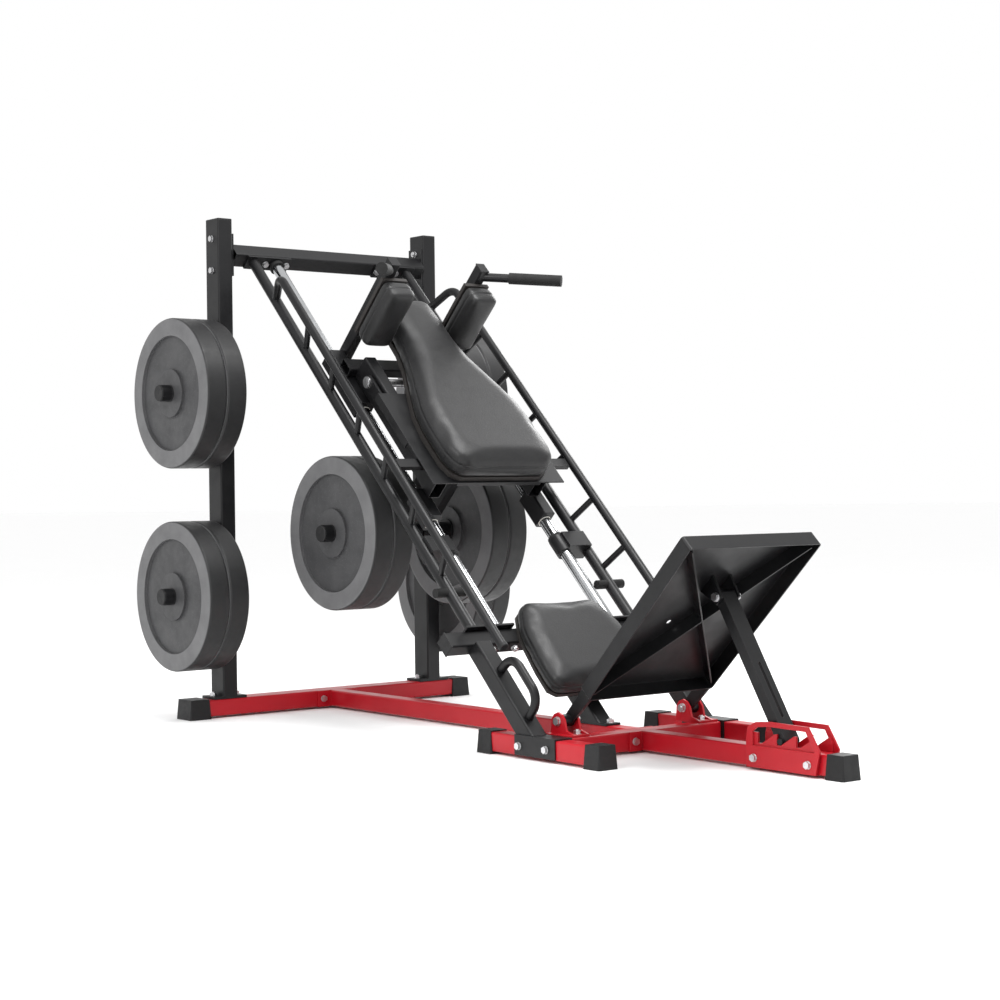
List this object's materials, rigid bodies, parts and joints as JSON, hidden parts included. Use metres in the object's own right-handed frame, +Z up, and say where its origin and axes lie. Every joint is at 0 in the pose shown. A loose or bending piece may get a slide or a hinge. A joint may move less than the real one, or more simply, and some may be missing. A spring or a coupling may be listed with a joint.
{
  "type": "leg press machine",
  "caption": "Plate-loaded leg press and hack squat with a 45 degree sled on round rails, catch ladders, padded seat, tilting foot plate and stored bumper plates.",
  "frame": {"origin": "middle of the footprint at floor level", "axes": "+X from the uprights towards the foot-plate end, +Y to the machine's left as seen from the foot-plate end's back rest side, +Z up"},
  "size_m": [2.398, 1.198, 1.512],
  "materials": {
    "red_paint": "semi-gloss powder coat",
    "black_paint": "semi-gloss powder coat",
    "chrome_rod": "polished",
    "zinc_steel": "zinc plated",
    "cap_plastic": "moulded, fine grain",
    "bush_plastic": "machined",
    "black_rubber": "matt",
    "pad_vinyl": "grained vinyl over foam",
    "pad_board": "painted plywood",
    "plate_rubber": "moulded bumper rubber"
  },
  "bodies": {
    "base_frame": {"rear_base_beam": "red_paint", "rear_beam_end_caps": "cap_plastic", "rear_spine": "red_paint", "front_spine": "red_paint", "front_feet": "red_paint", "front_end_caps": "cap_plastic", "upright_left": "black_paint", "upright_right": "black_paint", "upright_top_caps": "cap_plastic", "top_crossbeam": "black_paint", "storage_horns": "black_paint", "storage_horn_caps": "cap_plastic", "saddle_brackets": "black_paint", "front_cross_beam": "red_paint", "rail_posts": "black_paint", "crossmember_end_caps": "cap_plastic", "catch_ladder_left": "black_paint", "catch_ladder_right": "black_paint", "ladder_tube_plugs": "cap_plastic", "guide_rods": "chrome_rod", "rail_end_plates": "black_paint", "rail_lower_crossmember": "black_paint", "rail_tie_brackets": "black_paint", "rail_bumpers": "black_rubber", "ladder_stop_pins": "black_rubber", "grab_handles": "black_paint", "seat_board": "pad_board", "seat_cushion": "pad_vinyl", "seat_support_tube": "black_paint", "foot_plate_clevises": "red_paint", "angle_ratchet_plates": "red_paint", "frame_bolts": "zinc_steel"},
    "sled": {"bearing_housings": "black_paint", "bearing_bushes": "bush_plastic", "sled_upper_cross_tube": "black_paint", "sled_stringers": "black_paint", "sled_horn_bar": "black_paint", "sled_horn_caps": "cap_plastic", "sled_back_plate": "black_paint", "back_pad_board": "pad_board", "back_pad": "pad_vinyl", "shoulder_arm_left": "black_paint", "shoulder_arm_right": "black_paint", "shoulder_pad_boards": "pad_board", "shoulder_pad_left": "pad_vinyl", "shoulder_pad_right": "pad_vinyl", "handle_grips": "black_rubber"},
    "safety_hooks": {"safety_hooks": "black_paint", "hook_shaft": "zinc_steel"},
    "foot_plate": {"foot_plate": "black_paint", "foot_plate_braces": "black_paint", "foot_plate_lugs": "black_paint", "foot_plate_pins": "zinc_steel"},
    "angle_prop": {"angle_prop": "black_paint"},
    "plates_upper_left": {"weight_plates_upper_left": "plate_rubber"},
    "plates_upper_right": {"weight_plates_upper_right": "plate_rubber"},
    "plates_lower_left": {"weight_plates_lower_left": "plate_rubber"},
    "plates_lower_right": {"weight_plates_lower_right": "plate_rubber"},
    "plates_sled_left": {"weight_plates_sled_left": "plate_rubber"},
    "plates_sled_right": {"weight_plates_sled_right": "plate_rubber"}
  },
  "joints": [
    {"name": "sled_slide", "type": "slide", "parent": "base_frame", "child": "sled", "axis": [0.7071, 0, -0.7071], "range_m": [-0.38, 0]},
    {"name": "hook_swing", "type": "hinge", "parent": "sled", "child": "safety_hooks", "pos_m": [-0.43943, 0, 0.99561], "axis": [0, 1, 0], "range_deg": [0, 9]},
    {"name": "foot_plate_tilt", "type": "hinge", "parent": "base_frame", "child": "foot_plate", "pos_m": [0.434, 0, 0.094], "axis": [0, -1, 0], "range_deg": [0, 30]},
    {"name": "prop_swing", "type": "hinge", "parent": "foot_plate", "child": "angle_prop", "pos_m": [0.792, 0, 0.413], "axis": [0, -1, 0], "range_deg": [0, 25]},
    {"name": "plates_upper_left_slide", "type": "slide", "parent": "base_frame", "child": "plates_upper_left", "axis": [0, 1, 0], "range_m": [0, 0.15]},
    {"name": "plates_upper_right_slide", "type": "slide", "parent": "base_frame", "child": "plates_upper_right", "axis": [0, -1, 0], "range_m": [0, 0.15]},
    {"name": "plates_lower_left_slide", "type": "slide", "parent": "base_frame", "child": "plates_lower_left", "axis": [0, 1, 0], "range_m": [0, 0.15]},
    {"name": "plates_lower_right_slide", "type": "slide", "parent": "base_frame", "child": "plates_lower_right", "axis": [0, -1, 0], "range_m": [0, 0.15]},
    {"name": "plates_sled_left_slide", "type": "slide", "parent": "sled", "child": "plates_sled_left", "axis": [0, 1, 0], "range_m": [0, 0.15]},
    {"name": "plates_sled_right_slide", "type": "slide", "parent": "sled", "child": "plates_sled_right", "axis": [0, -1, 0], "range_m": [0, 0.15]}
  ]
}
